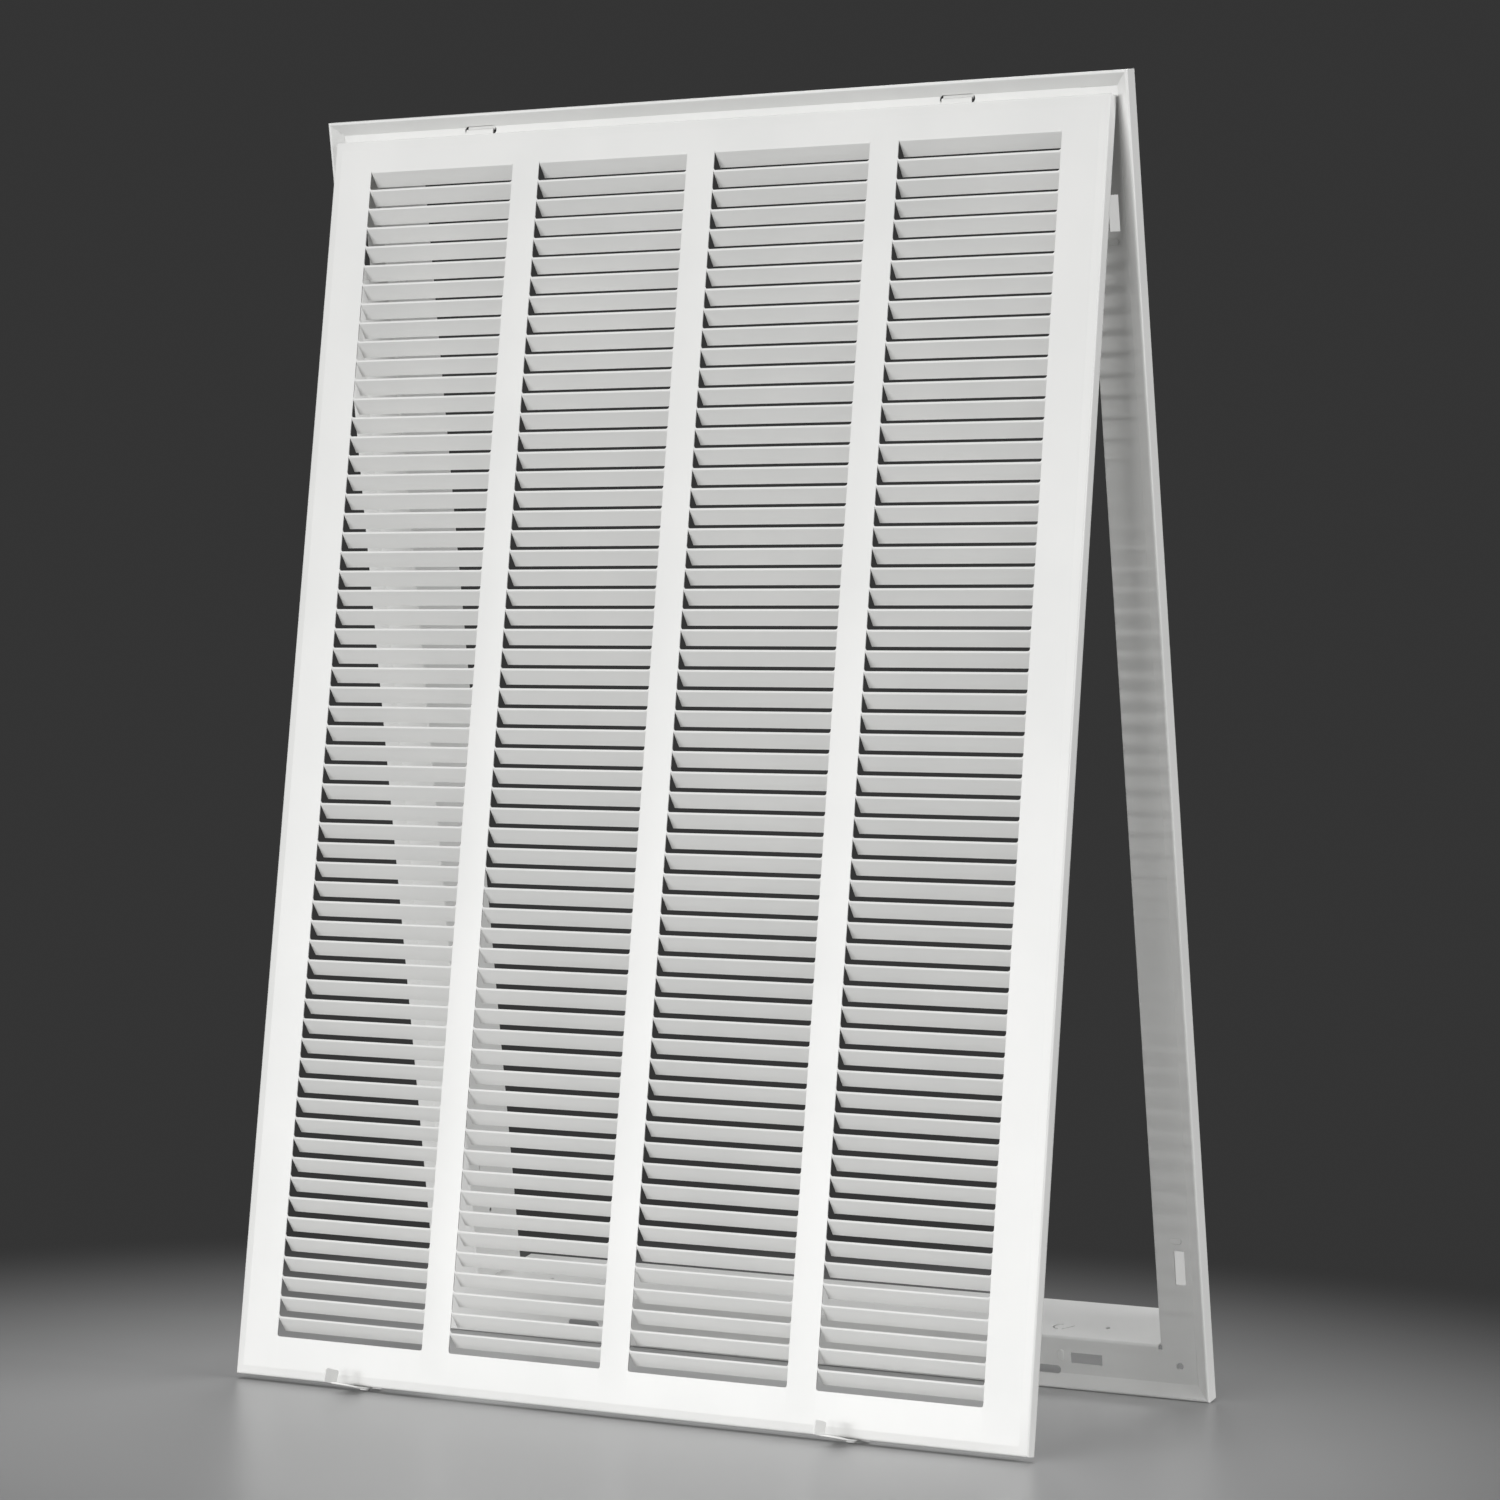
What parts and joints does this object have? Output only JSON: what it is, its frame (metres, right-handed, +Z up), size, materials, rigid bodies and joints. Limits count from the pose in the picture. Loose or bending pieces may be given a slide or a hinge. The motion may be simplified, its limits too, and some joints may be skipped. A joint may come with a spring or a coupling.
{
  "type": "return air filter grille",
  "caption": "Sheet-steel return air grille: a mitred duct frame and a louvred door hinged at the top, held open at an angle and closed by two turn levers.",
  "frame": {"origin": "middle of the bottom of the whole grille as it stands open on a floor", "axes": "+X along the hinge and the width, +Z up, the louvred door faces -Y"},
  "size_m": [0.5746, 0.3392, 0.8162],
  "materials": {
    "frame_enamel": "satin powder coat",
    "door_enamel": "satin powder coat",
    "latch_enamel": "satin powder coat",
    "rivet_metal": "satin powder coat"
  },
  "bodies": {
    "frame": {"frame_top": "frame_enamel", "frame_bottom": "frame_enamel", "frame_left": "frame_enamel", "frame_right": "frame_enamel"},
    "door": {"door_panel": "door_enamel", "latch_rivets": "rivet_metal"},
    "left_lever": {"latch_lever_left": "latch_enamel"},
    "right_lever": {"latch_lever_right": "latch_enamel"}
  },
  "joints": [
    {"name": "door_hinge", "type": "hinge", "parent": "frame", "child": "door", "pos_m": [0, -0.04302, 0.8048], "axis": [-1, 0, 0], "range_deg": [-17.3, 67]},
    {"name": "left_lever_turn", "type": "hinge", "parent": "door", "child": "left_lever", "pos_m": [-0.182, -0.14173, 0.00238], "axis": [0, 0.1156, 0.9933], "range_deg": [-9, 45]},
    {"name": "right_lever_turn", "type": "hinge", "parent": "door", "child": "right_lever", "pos_m": [0.162, -0.14173, 0.00238], "axis": [0, 0.1156, 0.9933], "range_deg": [-13, 41]}
  ]
}
